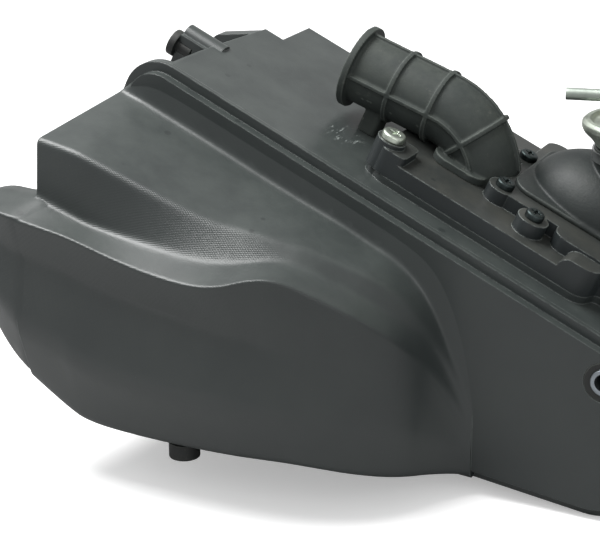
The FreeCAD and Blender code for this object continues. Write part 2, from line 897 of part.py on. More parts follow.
def make_filter_cover():
    low = dim("plinth")
    deck = dim("deck_low")
    high = dim("deck_high")
    roof = dim("roof")
    web = slab(rectangle(*COVER_WEB), [2] * 4, low, high)
    column = rectangle(dim("cover_left"), dim("cover_front"), COLUMN_RIGHT, COLUMN_REAR)
    solid = slab(*cover_outline(), low, deck)
    solid = solid.fuse(slab(column, [8, 3, 3, 3], low, CORNER_SEAT - 2.5))
    solid = solid.fuse([high_deck(low, high), web, front_step(low)])
    solid = solid.fuse(cover_bosses(low))
    pockets = slab(rectangle(*DIRTY_POCKET), [9] * 4, low - 1, deck - roof)
    for place_of in CLEAN_POCKETS:
        pockets = pockets.fuse(slab(rectangle(*place_of), [8] * 4, low - 1, high - roof))
    keep = [rod(COVER_BOSS - 1, V(x, y, low), V(x, y, high)) for x, y in BLACK_SCREWS]
    keep.append(rod(CORNER_BOSS - 0.5, V(*CORNER_SCREW, low), V(*CORNER_SCREW, high)))
    solid = solid.cut(pockets.cut(Part.makeCompound(keep)))
    solid = solid.cut(duct_tube(dim("duct_od") / 2))
    solid = solid.cut(slab(rectangle(*CLEAN_WINDOW), [20] * 4, low + 1, high + 1))
    drills = [rod(SCREW_CLEAR, V(x, y, 0), V(x, y, 30)) for x, y in BLACK_SCREWS]
    drills.append(rod(CORNER_SHANK + 0.3, V(*CORNER_SCREW, 0), V(*CORNER_SCREW, 30)))
    return solid.cut(drills)


def make_cover_seal():
    top = dim("plinth")
    ring = ring_slab(cover_outline, SEAL_OUTER, SEAL_INNER, top - SEAL_TALL, top)
    return ring.cut(anchor(*CORNER_SCREW, CORNER_SHANK + 0.2))


def cover_screw(x, y, seat, shank, head):
    stem = rod(shank, V(x, y, 1 - ANCHOR_DEEP), V(x, y, seat + 1))
    cap = pan_head(rod(head, V(x, y, seat), V(x, y, seat + 3.4)))
    cross = Part.makeBox(head, 1.3, 2, V(x - head / 2, y - 0.65, seat + 1.9))
    slot = Part.makeBox(1.3, head, 2, V(x - 0.65, y - head / 2, seat + 1.9))
    return stem.fuse(cap).cut([cross, slot])


def make_cover_screws():
    high = dim("deck_high")
    screws = [cover_screw(x, y, high, COVER_SHANK, COVER_HEAD) for x, y in BLACK_SCREWS]
    return Part.makeCompound(screws)


feature("filter_cover", make_filter_cover(), SLOPED)
feature("cover_seal", make_cover_seal(), SLOPED)
feature("cover_screws", make_cover_screws(), SLOPED)
corner_screw = cover_screw(*CORNER_SCREW, CORNER_SEAT, CORNER_SHANK, CORNER_HEAD)
feature("corner_screw", corner_screw, SLOPED)


# ---------------------------------------------------------------- filter element

FRAME_WALL = 3
FRAME_LIP = 4
FRAME_LIP_TALL = 2


def make_filter_frame():
    low = -dim("filter_deep")
    body = slab(filter_rectangle(0), [4] * 4, low, 1)
    lip = slab(filter_rectangle(FRAME_LIP), [6] * 4, 0, FRAME_LIP_TALL)
    inside = slab(filter_rectangle(-FRAME_WALL), [0.3] * 4, low - 1, 5)
    return body.fuse(lip).cut(inside)


def make_filter_pleats():
    """One folded sheet: its section zigzags and is drawn out along y."""
    inset = FRAME_WALL + 0.1
    left = dim("filter_left") + inset
    right = dim("filter_right") - inset
    front = dim("filter_front") + inset
    rear = dim("filter_rear") - inset
    low = 1.5 - dim("filter_deep")
    high = -1
    count = int(dim("pleats"))
    pitch = (right - left) / count
    sheet_thick = 0.9
    upper = []
    lower = []
    for fold in range(2 * count + 1):
        x = left + fold * pitch / 2
        z = high if fold % 2 else low
        upper.append(V(x, front, z + sheet_thick * 2.4))
        lower.append(V(x, front, z))
    outline = Part.makePolygon(upper + lower[::-1] + upper[:1])
    return Part.Face(outline).extrude(V(0, rear - front, 0))


def make_filter_seal():
    outer = slab(filter_rectangle(FRAME_LIP), [6] * 4, FRAME_LIP_TALL, dim("plinth"))
    inner = slab(filter_rectangle(1), [3] * 4, 0, 6)
    return outer.cut(inner)


feature("filter_frame", make_filter_frame(), SLOPED)
feature("filter_pleats", make_filter_pleats(), SLOPED)
feature("filter_seal", make_filter_seal(), SLOPED)


# ---------------------------------------------------------------- inlet elbow

RING_RUNS = (26, 48.5)
RING_ANGLE = 31
ELBOW_FOOT = 4
FOOT_LEFT = 127
FOOT_RIGHT = 158
FOOT_HALF = 22
STAY_LEFT = 84
STAY_RIGHT = 94
STAY_TOP = 14
STAY_GAP = 0.2


def duct_ring(at, direction, radius, wide):
    half = unit_vector(direction) * (wide / 2)
    return rod(radius, at - half, at + half)


def unit_vector(vector):
    return vector * (1 / vector.Length)


def duct_rib(outward):
    """A moulding line that runs along the elbow on the side that outward points to."""
    path, mouth, direction = duct_path(62)
    across = unit_vector(direction.cross(outward))
    reach = dim("duct_od") / 2 + dim("rib_rise")
    corners = []
    for out, along in ((reach, -1), (reach, 1), (reach - 6, 1), (reach - 6, -1)):
        corners.append(mouth + outward * out + across * along)
    profile = Part.makePolygon(corners + corners[:1])
    return path.makePipeShell([profile], True, True)


def make_intake_elbow():
    outer = dim("duct_od") / 2
    reach = outer + dim("rib_rise")
    wide = dim("rib_wide")
    _, mouth, direction = duct_path(80)
    ahead = unit_vector(direction)
    solid = duct_tube(outer)
    extras = [rod(dim("mouth_od") / 2, mouth, mouth + ahead * dim("mouth_lip"))]
    for run in RING_RUNS:
        extras.append(duct_ring(mouth + ahead * run, ahead, reach, wide))
    angle = math.radians(RING_ANGLE)
    radius = dim("bend_radius")
    centre = V(dim("bend_x"), dim("duct_y"), dim("duct_lift") - radius)
    at = centre + V(math.sin(angle), 0, math.cos(angle)) * radius
    extras.append(duct_ring(at, V(math.cos(angle), 0, -math.sin(angle)), reach, wide))
    above = unit_vector(ahead.cross(V(0, 1, 0)))
    extras += [duct_rib(outward) for outward in (V(0, -1, 0), V(0, 1, 0), above)]
    level = dim("duct_y")
    stay = rectangle(STAY_LEFT, level - 10, STAY_RIGHT, level + 4)
    extras.append(slab(stay, [2] * 4, STAY_GAP, STAY_TOP))
    foot = rectangle(FOOT_LEFT, level - FOOT_HALF, FOOT_RIGHT, level + FOOT_HALF)
    deck = dim("deck_low")
    extras.append(slab(foot, [9] * 4, deck, deck + ELBOW_FOOT))
    clear = COVER_BOSS + STAY_GAP
    tools = [rod(clear, V(x, y, 0), V(x, y, dim("deck_high"))) for x, y in BLACK_SCREWS]
    tools.append(Part.makeBox(200, 200, 60, V(105, -20, deck - 60)))
    details = extras[0].fuse(extras[1:]).cut(tools)
    solid = solid.fuse(details).cut(duct_tube(outer - dim("duct_wall"), 85))
    return solid.cut(Part.makeBox(200, 200, 60, V(105, -20, DUCT_END - 60)))


feature("intake_elbow", make_intake_elbow(), SLOPED)


# ---------------------------------------------------------------- outlet boot

BOOT_LIP = 2.5


def boot_dome(inset):
    """Half of an ellipsoid standing on the high deck."""
    ball = Part.makeSphere(1)
    stretch = FreeCAD.Matrix()
    stretch.scale(
        dim("boot_long") - inset, dim("boot_wide") - inset, dim("boot_tall") - inset
    )
    dome = ball.transformGeometry(stretch)
    dome.translate(V(dim("boot_x") - 2, -dim("corner_y"), dim("deck_high")))
    below = Part.makeBox(300, 300, 60, V(0, 0, dim("deck_high") - 60))
    return dome.cut(below)


def bore_point(z):
    """Case-frame point of the bore's axis at a height below the engine face."""
    x, height = sloped_point(-dim("corner_x"), z - dim("corner_z"))
    return V(x, -dim("corner_y"), height)


def make_outlet_boot():
    high = dim("deck_high")
    lip = rectangle(168, 46, 260, 114)
    solid = boot_dome(0).fuse(slab(lip, [12] * 4, high, high + BOOT_LIP))
    low = dim("band_low") - 12
    solid = solid.fuse(rod(dim("neck_od") / 2, bore_point(low), bore_point(dim("neck_top"))))
    below = Part.makeBox(300, 300, 60, V(0, 0, high - 60))
    solid = solid.cut(below)
    solid = solid.cut(boot_dome(dim("boot_wall")))
    solid = solid.cut(slab(rectangle(186, 62, 244, 98), [12] * 4, high - 1, high + 4))
    return solid.cut(rod(dim("neck_id") / 2, bore_point(low - 10), bore_point(0)))


feature("outlet_boot", make_outlet_boot(), SLOPED)


# ---------------------------------------------------------------- throttle body

BELL_THROAT = 21


def make_throttle_body():
    """The casting: barrel, bell, engine flange, shaft bosses and sensor seat."""
    body = new_body("throttle_casting")
    bore = "dims.bore / 2"
    spigot = "dims.neck_id / 2"
    barrel = "dims.barrel_od / 2"
    bell = "dims.bell_od / 2"
    corners = [
        (bore, "dims.spigot_end"),
        (spigot, "dims.spigot_end"),
        (spigot, "dims.neck_top"),
        (BELL_THROAT, "dims.neck_top + 0.5"),
        (f"{bell} - 4.5", "dims.bell_edge - 4"),
        (f"{bell} - 1", "dims.bell_edge - 0.6"),
        (bell, "dims.bell_edge + 1.4"),
        (bell, "dims.bell_top - 1.5"),
        (f"{bell} - 1.5", "dims.bell_top"),
        (f"{bell} - 4", "dims.bell_top"),
        (f"{bell} - 5.5", "dims.bell_top - 2"),
        (barrel, "dims.bell_top - 2"),
        (barrel, 0),
        (bore, 0),
    ]
    revolve(body, "barrel", polygon_sketch(body, "barrel_outline", "XZ_Plane", corners))
    half = "dims.bolt_spacing / 2"
    plate = [
        (8, half),
        (-8, half),
        (-19, 6),
        (-19, -6),
        (-8, f"-{half}"),
        (8, f"-{half}"),
        (19, -6),
        (19, 6),
    ]
    flange_sketch = polygon_sketch(body, "flange_outline", "XY_Plane", plate, -9)
    pad(body, "engine_flange", flange_sketch, 9)
    ears = [(0, half, 8), (0, f"-{half}", 8)]
    pad(body, "ears", circle_sketch(body, "ear_outline", "XY_Plane", ears, -9), 9)
    boss = circle_sketch(body, "boss_outline", "XZ_Plane", [(0, "dims.shaft_z", 7.5)])
    pad(body, "shaft_bosses", boss, 56, midplane=True)
    seat = [(-11, -16), (11, -16), (11, -28), (-11, -28)]
    seat_sketch = polygon_sketch(body, "seat_outline", "XY_Plane", seat, "dims.shaft_z - 17")
    pad(body, "sensor_seat", seat_sketch, 34)
    shelf = [(16.5, 4), (25, 4), (25, 38), (16.5, 38)]
    shelf_sketch = polygon_sketch(body, "shelf_outline", "XY_Plane", shelf, "dims.shaft_z + 8")
    pad(body, "idle_shelf", shelf_sketch, 6)
    through = circle_sketch(body, "bore_outline", "XY_Plane", [(0, 0, bore)])
    pocket(body, "bore", through, 300, midplane=True)
    running = "dims.shaft_od / 2 + dims.shaft_gap"
    shaft_hole = circle_sketch(body, "shaft_hole", "XZ_Plane", [(0, "dims.shaft_z", running)])
    pocket(body, "shaft_bore", shaft_hole, 90, midplane=True)
    bolts = [(0, half, "dims.bolt_hole / 2"), (0, f"-{half}", "dims.bolt_hole / 2")]
    bolt_sketch = circle_sketch(body, "bolt_outline", "XY_Plane", bolts)
    pocket(body, "bolt_holes", bolt_sketch, 60, midplane=True)
    idle = circle_sketch(body, "idle_outline", "XY_Plane", [(20.5, 34.5, 2.5)])
    pocket(body, "idle_hole", idle, 80, midplane=True)
    return body


throttle_body = make_throttle_body()
pipe_hole = cylinder("pipe_hole", "dims.pipe_od / 2", 12, -26, 0, "dims.pipe_z", **ALONG_X)
sensor_holes = []
for number, lift in enumerate((-13, 13)):
    at = f"dims.shaft_z + {lift}"
    sensor_holes.append(cylinder(f"sensor_hole_{number}", 1.9, 10, 0, -30, at, **ALONG_Y))
casting = cut("casting", throttle_body, fuse("casting_drills", [pipe_hole] + sensor_holes))
publish(casting, "throttle_body", THROTTLE)


def make_throttle_shaft():
    stock = cylinder(
        "shaft_stock",
        "dims.shaft_od / 2",
        "dims.shaft_rear - dims.shaft_front",
        0,
        "dims.shaft_front",
        "dims.shaft_z",
        **ALONG_Y,
    )
    flat = box("shaft_flat", 20, 29.9, 10, -10, -14.95, "dims.shaft_z")
    holes = [
        cylinder(f"shaft_tapping_{number}", 1.25, 12, 0, y, "dims.shaft_z - 6")
        for number, y in enumerate((-8, 8))
    ]
    return cut("shaft_cut", stock, fuse("shaft_tools", [flat] + holes))


def make_throttle_plate():
    disc = cylinder(
        "plate_disc", "dims.plate_od / 2", "dims.plate_thick", 0, 0, "dims.shaft_z"
    )
    holes = [
        cylinder(f"plate_hole_{number}", 1.3, 6, 0, y, "dims.shaft_z - 2")
        for number, y in enumerate((-8, 8))
    ]
    return cut("plate_cut", disc, fuse("plate_tools", holes))


def make_plate_screws():
    screws = []
    top = "dims.shaft_z + dims.plate_thick"
    for number, y in enumerate((-8, 8)):
        stem = cylinder(f"plate_stem_{number}", 1.25, 4, 0, y, f"{top} - 3.6")
        head = cylinder(f"plate_head_{number}", 2.4, 1.4, 0, y, top)
        screws.append(fuse(f"plate_screw_{number}", [stem, head]))
    return group("plate_screw_pair", screws)


def make_throttle_pulley():
    disc = cylinder(
        "pulley_disc", "dims.pulley_od / 2", "dims.pulley_thick", 0, 31, "dims.shaft_z", **ALONG_Y
    )
    arm = box("pulley_arm", 15, "dims.pulley_thick", 6, 9, 31, "dims.shaft_z - 3")
    groove = doc.addObject("Part::Torus", "pulley_groove")
    groove.setExpression("Radius1", "dims.pulley_od / 2 + 0.4")
    groove.setExpression("Radius2", "2.2")
    place(groove, 0, "31 + dims.pulley_thick / 2", "dims.shaft_z", **ALONG_Y)
    hole = cylinder("pulley_hole", "dims.shaft_od / 2", 20, 0, 25, "dims.shaft_z", **ALONG_Y)
    windows = [
        cylinder(f"pulley_window_{number}", 3, 20, x, 25, f"dims.shaft_z {lift}", **ALONG_Y)
        for number, (x, lift) in enumerate(((-9.5, "+ 0"), (0, "+ 9.5"), (0, "- 9.5")))
    ]
    wheel = cut("pulley_wheel", disc, groove)
    blank = fuse("pulley_blank", [wheel, arm])
    return cut("pulley_cut", blank, fuse("pulley_tools", [hole] + windows))


def make_hex_nut(name, flats, thick, hole, x, y, z, turn):
    prism = doc.addObject("Part::Prism", f"{name}_hex")
    prism.Polygon = 6
    prism.setExpression("Circumradius", f"{flats} / 1.7320508")
    prism.setExpression("Height", str(thick))
    place(prism, x, y, z, **turn)
    return cut(f"{name}_cut", prism, cylinder(f"{name}_hole", hole, "40", x, y, z, **turn))


UPWARD = {"axis": V(0, 0, 1), "angle": 0}

publish(make_throttle_shaft(), "throttle_shaft", THROTTLE)
publish(make_throttle_plate(), "throttle_plate", THROTTLE)
publish(make_plate_screws(), "plate_screws", THROTTLE)
publish(make_throttle_pulley(), "throttle_pulley", THROTTLE)
shaft_nut = make_hex_nut(
    "shaft_nut", 13, 5, "dims.shaft_od / 2", 0, "31 + dims.pulley_thick", "dims.shaft_z", ALONG_Y
)
publish(shaft_nut, "shaft_nut", THROTTLE)


SPRING_PITCH = 2.2
SPRING_RADIUS = 9.6


def make_return_spring():
    """A torsion spring of round wire wound on the rear shaft boss."""
    turns = 3
    steps = 12
    points = []
    for step in range(turns * steps + 1):
        angle = 2 * math.pi * step / steps
        y = 20.2 + SPRING_PITCH * step / steps
        across = SPRING_RADIUS * math.cos(angle)
        points.append(V(across, y, dim("shaft_z") + SPRING_RADIUS * math.sin(angle)))
    coil = Part.BSplineCurve()
    coil.interpolate(points)
    path = Part.Wire([coil.toShape()])
    wire_ring = Part.Wire([Part.makeCircle(0.7, points[0], coil.tangent(0)[0])])
    return path.makePipeShell([wire_ring], True, True)


feature("return_spring", make_return_spring(), THROTTLE)

idle_stem = cylinder("idle_stem", 2.45, 19, 20.5, 34.5, "dims.shaft_z + 3.05")
idle_head = cylinder("idle_head", 4, 3.5, 20.5, 34.5, "dims.shaft_z + 22")
publish(fuse("idle_parts", [idle_stem, idle_head]), "idle_screw", THROTTLE)
idle_nut = make_hex_nut("idle_nut", 8, 4, 2.5, 20.5, 34.5, "dims.shaft_z + 14", UPWARD)
publish(idle_nut, "idle_nut", THROTTLE)


def make_throttle_sensor():
    body = new_body("sensor_moulding")
    ears = [(-6, -28.2), (6, -28.2), (6, -32), (-6, -32)]
    ear_sketch = polygon_sketch(body, "sensor_ears", "XY_Plane", ears, "dims.shaft_z - 17")
    pad(body, "sensor_plate", ear_sketch, 34)
    shell = [(-10.5, -28.2), (10.5, -28.2), (10.5, -40), (-10.5, -40)]
    shell_sketch = polygon_sketch(body, "sensor_shell", "XY_Plane", shell, "dims.shaft_z - 9")
    pad(body, "sensor_body", shell_sketch, 18)
    socket = circle_sketch(body, "sensor_socket", "XZ_Plane", [(0, "dims.shaft_z", 4.3)])
    pocket(body, "sensor_recess", socket, 64, midplane=True)
    return body


sensor = make_throttle_sensor()
drills = []
for number, lift in enumerate((-13, 13)):
    at = f"dims.shaft_z + {lift}"
    drills.append(cylinder(f"sensor_drill_{number}", 2.1, 20, 0, -45, at, **ALONG_Y))
publish(cut("sensor_cut", sensor, fuse("sensor_drills", drills)), "throttle_sensor", THROTTLE)
screws = []
for number, lift in enumerate((-13, 13)):
    at = f"dims.shaft_z + {lift}"
    stem = cylinder(f"sensor_stem_{number}", 1.9, 13, 0, -34, at, **ALONG_Y)
    head = cylinder(f"sensor_head_{number}", 3.5, 2.6, 0, -34.6, at, **ALONG_Y)
    screws.append(fuse(f"sensor_screw_{number}", [stem, head]))
publish(group("sensor_screw_pair", screws), "sensor_screws", THROTTLE)


def make_boot_clamp():
    high = "dims.band_high - dims.band_low - 2"
    low = "dims.band_low + 1"
    outer = cylinder("band_skin", "dims.neck_od / 2 + 1", high, 0, 0, low)
    ears = box("band_ears", 8, 9, high, -4, "dims.neck_od / 2 - 1", low)
    inner = cylinder("band_inside", "dims.neck_od / 2", 40, 0, 0, "dims.band_low - 10")
    gap = box("band_gap", 3, 14, 40, -1.5, "dims.neck_od / 2 - 4", "dims.band_low - 10")
    middle = "(dims.band_low + dims.band_high) / 2"
    hole = cylinder("band_hole", 2.1, 30, -15, "dims.neck_od / 2 + 4.5", middle, **ALONG_X)
    blank = fuse("band_blank", [outer, ears])
    return cut("band_cut", blank, fuse("band_tools", [inner, gap, hole]))


publish(make_boot_clamp(), "boot_clamp", THROTTLE)
middle = "(dims.band_low + dims.band_high) / 2"
clamp_y = "dims.neck_od / 2 + 4.5"
clamp_stem = cylinder("clamp_stem", 2, 16, -8, clamp_y, middle, **ALONG_X)
clamp_head = cylinder("clamp_head", 3.5, 3, -7, clamp_y, middle, **ALONG_X)
publish(fuse("clamp_parts", [clamp_stem, clamp_head]), "clamp_screw", THROTTLE)

pipe_length = "dims.pipe_reach - 15.5"
pipe_skin = cylinder(
    "pipe_skin", "dims.pipe_od / 2", pipe_length, "-dims.pipe_reach", 0, "dims.pipe_z", **ALONG_X
)
pipe_bore = cylinder(
    "pipe_bore", "dims.pipe_id / 2", 40, "-dims.pipe_reach - 1", 0, "dims.pipe_z", **ALONG_X
)
publish(cut("pipe_cut", pipe_skin, pipe_bore), "vacuum_pipe", THROTTLE)


# ---------------------------------------------------------------- drain and mounts

plug_at = ("dims.drain_x", "dims.drain_y")
plug_skin = cylinder("plug_skin", "dims.plug_od / 2", "dims.plug_length", *plug_at, "dims.plug_end")
plug_bore = cylinder(
    "plug_bore", "dims.nipple_od / 2 + 0.05", 30, *plug_at, "dims.nipple_end - 0.05"
)
publish(cut("plug_cut", plug_skin, plug_bore), "drain_plug", LEVEL)


def side_tube(name, outer, inner, proud):
    """A tube through the side panel that stands proud of the panel's front face."""
    front = f"-dims.panel_rise - {proud}"
    length = f"dims.panel_rise + dims.flange + {proud}"
    skin = cylinder(
        f"{name}_skin", outer, length, "dims.collar_x", front, "dims.collar_z", **ALONG_Y
    )
    bore = cylinder(f"{name}_bore", inner, 40, "dims.collar_x", -20, "dims.collar_z", **ALONG_Y)
    return cut(f"{name}_cut", skin, bore)


grommet = side_tube("grommet", "dims.grommet_od / 2", "dims.collar_od / 2", 0)
publish(grommet, "side_grommet", LEVEL)
collar = side_tube("collar", "dims.collar_od / 2", "dims.collar_id / 2", 1)
publish(collar, "side_collar", LEVEL)

seat_at = ("dims.buffer_y", "dims.buffer_z")
head_left = "dims.buffer_seat - dims.buffer_thick"
buffer_head = cylinder(
    "buffer_head", "dims.buffer_od / 2", "dims.buffer_thick", head_left, *seat_at, **ALONG_X
)
buffer_stem = cylinder("buffer_stem", "dims.stem_od / 2", 8.5, "dims.buffer_seat", *seat_at, **ALONG_X)
publish(fuse("buffer_parts", [buffer_head, buffer_stem]), "mount_buffer", SLOPED)


def finish():
    doc.recompute()
    for item in doc.Objects:
        if "Invalid" in item.State or "Error" in item.State:
            raise RuntimeError(f"{item.Label} failed: {item.State}")
    for piece in NODES:
        if piece.Shape.isNull() or not piece.Shape.isValid():
            raise RuntimeError(f"{piece.Label} has no valid shape")
    os.makedirs("parts", exist_ok=True)
    for piece in NODES:
        piece.Shape.exportStep(os.path.join("parts", f"{piece.Label}.step"))
        solids = len(piece.Shape.Solids)
        print(f"{piece.Label}: {solids} solid(s), {piece.Shape.Volume:.0f} mm3")


finish()
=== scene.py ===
import json
import math

import bpy
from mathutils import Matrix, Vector

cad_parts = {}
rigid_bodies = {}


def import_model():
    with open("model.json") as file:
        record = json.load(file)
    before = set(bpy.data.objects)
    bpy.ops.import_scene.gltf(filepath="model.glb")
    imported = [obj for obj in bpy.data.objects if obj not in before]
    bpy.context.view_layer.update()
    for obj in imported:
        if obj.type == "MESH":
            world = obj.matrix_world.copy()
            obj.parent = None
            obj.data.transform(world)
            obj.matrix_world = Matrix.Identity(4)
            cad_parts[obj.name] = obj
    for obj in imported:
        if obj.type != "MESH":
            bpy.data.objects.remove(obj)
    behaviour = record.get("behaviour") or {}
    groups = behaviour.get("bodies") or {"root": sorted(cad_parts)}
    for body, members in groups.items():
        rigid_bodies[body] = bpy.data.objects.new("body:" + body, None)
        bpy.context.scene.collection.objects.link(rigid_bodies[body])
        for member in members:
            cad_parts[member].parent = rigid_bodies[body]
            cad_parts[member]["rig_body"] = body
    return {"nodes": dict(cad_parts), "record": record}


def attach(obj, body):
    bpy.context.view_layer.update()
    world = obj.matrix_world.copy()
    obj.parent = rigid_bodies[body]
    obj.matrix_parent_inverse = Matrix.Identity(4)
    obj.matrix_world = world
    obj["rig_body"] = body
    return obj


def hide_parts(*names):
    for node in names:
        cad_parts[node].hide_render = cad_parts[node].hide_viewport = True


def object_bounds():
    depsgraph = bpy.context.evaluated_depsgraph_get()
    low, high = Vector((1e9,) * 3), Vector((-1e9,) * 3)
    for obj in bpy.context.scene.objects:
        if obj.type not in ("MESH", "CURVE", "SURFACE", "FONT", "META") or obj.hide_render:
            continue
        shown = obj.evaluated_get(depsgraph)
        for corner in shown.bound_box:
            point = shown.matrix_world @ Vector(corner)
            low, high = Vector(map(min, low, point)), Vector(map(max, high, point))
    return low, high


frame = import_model()
CAD_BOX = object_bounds()
NODES = frame["nodes"]

# ---------------------------------------------------------------- materials


def linear(rgb):
    """Linear colour of a display colour given as 0-255 numbers."""
    out = []
    for channel in rgb:
        c = channel / 255
        out.append(c / 12.92 if c <= 0.04045 else ((c + 0.055) / 1.055) ** 2.4)
    return (*out, 1.0)


class Look:
    """A procedural material built node by node on object coordinates, in metres."""

    def __init__(self, name):
        self.material = bpy.data.materials.new(name)
        self.material.use_nodes = True
        self.tree = self.material.node_tree
        self.links = self.tree.links
        self.shader = self.tree.nodes["Principled BSDF"]
        self.where = self.tree.nodes.new("ShaderNodeTexCoord").outputs["Object"]
        self.bump_input = None
        self.corner = None

    def noise(self, scale, detail=2.0, rough=0.5, stretch=None):
        """Noise from 0 to 1: scale is cells to the metre, stretch scales each axis of it."""
        made = self.tree.nodes.new("ShaderNodeTexNoise")
        made.inputs["Scale"].default_value = scale
        made.inputs["Detail"].default_value = detail
        made.inputs["Roughness"].default_value = rough
        source = self.where
        if stretch:
            mapping = self.tree.nodes.new("ShaderNodeMapping")
            mapping.inputs["Scale"].default_value = stretch
            self.links.new(source, mapping.inputs["Vector"])
            source = mapping.outputs["Vector"]
        self.links.new(source, made.inputs["Vector"])
        return made.outputs["Fac"]

    def ramp(self, source, stops):
        """Colours along a value: stops are (value, linear colour) pairs, in order."""
        made = self.tree.nodes.new("ShaderNodeValToRGB")
        band = made.color_ramp
        while len(band.elements) < len(stops):
            band.elements.new(0.5)
        for element, (at, colour) in zip(band.elements, stops):
            element.position = at
            element.color = colour
        self.links.new(source, made.inputs["Fac"])
        return made.outputs["Color"]

    def mask(self, source, low, high):
        """0 where the value is low, 1 where it is high, smooth between."""
        made = self.tree.nodes.new("ShaderNodeMapRange")
        made.interpolation_type = "SMOOTHSTEP"
        made.inputs["From Min"].default_value = low
        made.inputs["From Max"].default_value = high
        self.links.new(source, made.inputs["Value"])
        return made.outputs["Result"]

    def math(self, operation, first, second=0.0):
        made = self.tree.nodes.new("ShaderNodeMath")
        made.operation = operation
        for slot, value in zip(made.inputs, (first, second)):
            if isinstance(value, (int, float)):
                slot.default_value = value
            else:
                self.links.new(value, slot)
        return made.outputs["Value"]

    def mix(self, factor, first, second, blend="MIX"):
        made = self.tree.nodes.new("ShaderNodeMix")
        made.data_type = "RGBA"
        made.blend_type = blend
        for slot, value in zip((made.inputs[0], made.inputs[6], made.inputs[7]), (factor, first, second)):
            if isinstance(value, (int, float, tuple)):
                slot.default_value = value
            else:
                self.links.new(value, slot)
        return made.outputs[2]

    def up(self):
        """How far the surface faces up, -1 to 1."""
        geometry = self.tree.nodes.new("ShaderNodeNewGeometry")
        split = self.tree.nodes.new("ShaderNodeSeparateXYZ")
        self.links.new(geometry.outputs["Normal"], split.inputs[0])
        return split.outputs["Z"]

    def axis(self, letter):
        """The place's coordinate along X, Y or Z, in metres."""
        split = self.tree.nodes.new("ShaderNodeSeparateXYZ")
        self.links.new(self.where, split.inputs[0])
        return split.outputs[letter]

    def edge(self):
        """1 on outer edges, by the mesh's pointiness."""
        geometry = self.tree.nodes.new("ShaderNodeNewGeometry")
        return self.mask(geometry.outputs["Pointiness"], 0.51, 0.56)

    def round(self, radius):
        """Light every corner as if it were rounded to this radius, and mark it in self.corner."""
        made = self.tree.nodes.new("ShaderNodeBevel")
        made.samples = 4
        made.inputs["Radius"].default_value = radius
        self.bump_input = made.outputs["Normal"]
        self.links.new(self.bump_input, self.shader.inputs["Normal"])
        geometry = self.tree.nodes.new("ShaderNodeNewGeometry")
        along = self.tree.nodes.new("ShaderNodeVectorMath")
        along.operation = "DOT_PRODUCT"
        self.links.new(made.outputs["Normal"], along.inputs[0])
        self.links.new(geometry.outputs["Normal"], along.inputs[1])
        self.corner = self.mask(along.outputs["Value"], 0.985, 0.9)

    def spots(self, scale, chance, size):
        """Round spots: a share of the cells of this scale holds one."""
        cells = self.tree.nodes.new("ShaderNodeTexVoronoi")
        cells.inputs["Scale"].default_value = scale
        self.links.new(self.where, cells.inputs["Vector"])
        split = self.tree.nodes.new("ShaderNodeSeparateColor")
        self.links.new(cells.outputs["Color"], split.inputs[0])
        chosen = self.math("LESS_THAN", split.outputs[0], chance)
        near = self.mask(cells.outputs["Distance"], size * 4, size * 3)
        return self.math("MULTIPLY", chosen, near)

    def near(self, place, reach):
        """1 at a place, falling to 0 at this reach in metres."""
        away = self.tree.nodes.new("ShaderNodeVectorMath")
        away.operation = "DISTANCE"
        self.links.new(self.where, away.inputs[0])
        away.inputs[1].default_value = place
        return self.mask(away.outputs["Value"], reach, reach * 0.3)

    def diamonds(self, pitch):
        """Fine crossed ridges on walls that face front or back."""
        across = self.math("MULTIPLY", self.axis("X"), 2 * math.pi / pitch)
        upright = self.math("MULTIPLY", self.axis("Z"), 2 * math.pi / pitch)
        rising = self.math("SINE", self.math("ADD", across, upright))
        falling = self.math("SINE", self.math("SUBTRACT", across, upright))
        return self.math("MULTIPLY", rising, falling)

    def colour(self, source):
        self.links.new(source, self.shader.inputs["Base Color"])

    def roughness(self, source):
        if isinstance(source, (int, float)):
            self.shader.inputs["Roughness"].default_value = source
        else:
            self.links.new(source, self.shader.inputs["Roughness"])

    def bump(self, height, distance):
        """Raise the surface by a height from 0 to 1 times this distance, in metres."""
        made = self.tree.nodes.new("ShaderNodeBump")
        made.inputs["Distance"].default_value = distance
        self.links.new(height, made.inputs["Height"])
        if self.bump_input is not None:
            self.links.new(self.bump_input, made.inputs["Normal"])
        self.bump_input = made.outputs["Normal"]
        self.links.new(self.bump_input, self.shader.inputs["Normal"])


# Sizes of surface detail, in metres.
MOULDED_ROUND = 0.0009
TURNED_ROUND = 0.0004
GRAIN_DEPTH = 0.00004
RUBBER_GRAIN_DEPTH = 0.00008
HATCH_PITCH = 0.0014
HATCH_DEPTH = 0.000045
SCUFF_REACH = 0.013

# Display colours that several looks share.
DRIED_DROP = (34, 38, 38)
PALE_SPECK = (140, 145, 138)
# Pale colour painted on plastic corners: partly worn plastic, partly a painted highlight along the edges.
PALE_EDGE_WEAR_AND_HIGHLIGHT = (150, 158, 154)
SCRATCH = (176, 184, 180)
RUBBER_FILM = (106, 110, 102)
RUBBER_BLOOM = (150, 150, 140)
# Paler tone painted on the sharp outer edges of rubber.
PALE_EDGE_RUBBER = (120, 126, 120)


